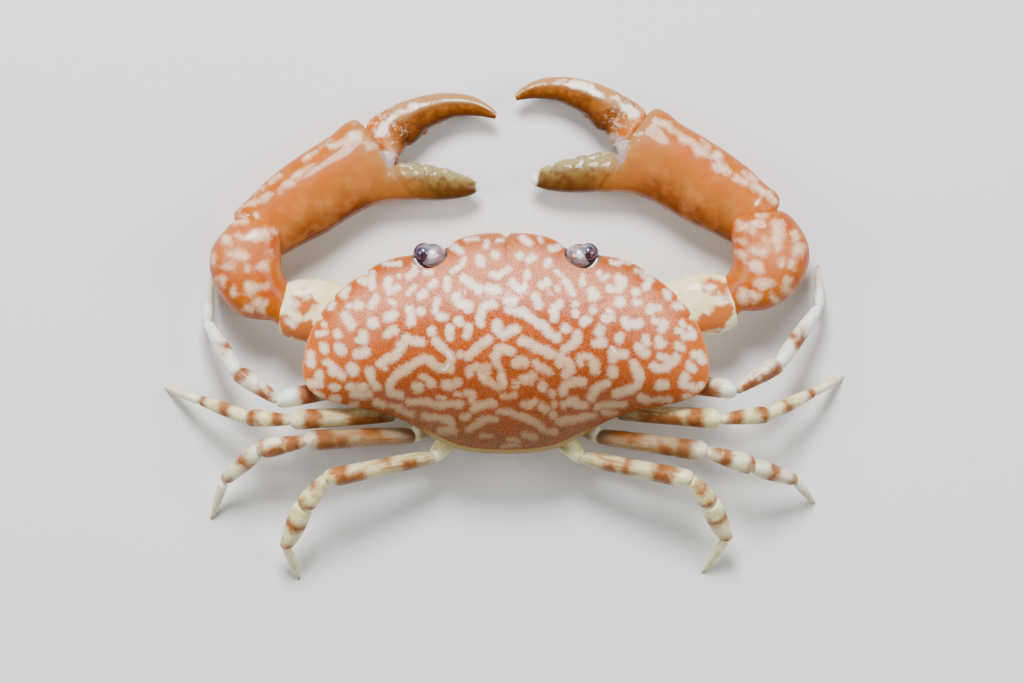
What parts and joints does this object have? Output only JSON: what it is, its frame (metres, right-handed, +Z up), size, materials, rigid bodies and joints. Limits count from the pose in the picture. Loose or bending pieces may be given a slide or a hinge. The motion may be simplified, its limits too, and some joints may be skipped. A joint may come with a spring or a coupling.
{
  "type": "crab",
  "caption": "Life-size still crab with a broad domed shell in cream spots and stripes on orange, smooth claws curved together in front and banded, jointed walking legs.",
  "frame": {"origin": "on the floor under the middle of the whole animal, claws and legs included", "axes": "+Z up; the crab faces -Y, and its own left side is towards +X"},
  "size_m": [0.0682, 0.0504, 0.0152],
  "materials": {
    "shell": "finely granular glossy shell, orange with cream spots and stripes",
    "underside": "satin cream shell",
    "mouthparts": "satin buff shell",
    "eyes": "wet gloss, purple-blue cornea on a translucent grey stalk",
    "arm": "glossy pale cream shell with orange",
    "wrist": "glossy orange shell with cream spots",
    "palm": "glossy orange shell with a row of white spots",
    "finger": "polished amber-brown shell",
    "legs": "glossy cream shell with orange bands",
    "leg_tips": "glossy pale shell with a horny tip"
  },
  "bodies": {
    "root": {"carapace": "shell", "thorax": "underside", "abdomen": "underside", "maxilliped_left": "mouthparts", "maxilliped_right": "mouthparts", "antenna_left": "mouthparts", "antenna_right": "mouthparts", "eye_left": "eyes", "eye_right": "eyes", "cheliped_left_coxa": "arm", "cheliped_left_merus": "arm", "cheliped_left_carpus": "wrist", "cheliped_left_palm": "palm", "cheliped_left_finger": "finger", "cheliped_right_coxa": "arm", "cheliped_right_merus": "arm", "cheliped_right_carpus": "wrist", "cheliped_right_palm": "palm", "cheliped_right_finger": "finger", "leg1_left_coxa": "legs", "leg1_left_merus": "legs", "leg1_left_carpus": "legs", "leg1_left_propodus": "legs", "leg1_left_dactylus": "leg_tips", "leg1_right_coxa": "legs", "leg1_right_merus": "legs", "leg1_right_carpus": "legs", "leg1_right_propodus": "legs", "leg1_right_dactylus": "leg_tips", "leg2_left_coxa": "legs", "leg2_left_merus": "legs", "leg2_left_carpus": "legs", "leg2_left_propodus": "legs", "leg2_left_dactylus": "leg_tips", "leg2_right_coxa": "legs", "leg2_right_merus": "legs", "leg2_right_carpus": "legs", "leg2_right_propodus": "legs", "leg2_right_dactylus": "leg_tips", "leg3_left_coxa": "legs", "leg3_left_merus": "legs", "leg3_left_carpus": "legs", "leg3_left_propodus": "legs", "leg3_left_dactylus": "leg_tips", "leg3_right_coxa": "legs", "leg3_right_merus": "legs", "leg3_right_carpus": "legs", "leg3_right_propodus": "legs", "leg3_right_dactylus": "leg_tips", "leg4_left_coxa": "legs", "leg4_left_merus": "legs", "leg4_left_carpus": "legs", "leg4_left_propodus": "legs", "leg4_left_dactylus": "leg_tips", "leg4_right_coxa": "legs", "leg4_right_merus": "legs", "leg4_right_carpus": "legs", "leg4_right_propodus": "legs", "leg4_right_dactylus": "leg_tips"}
  },
  "joints": []
}
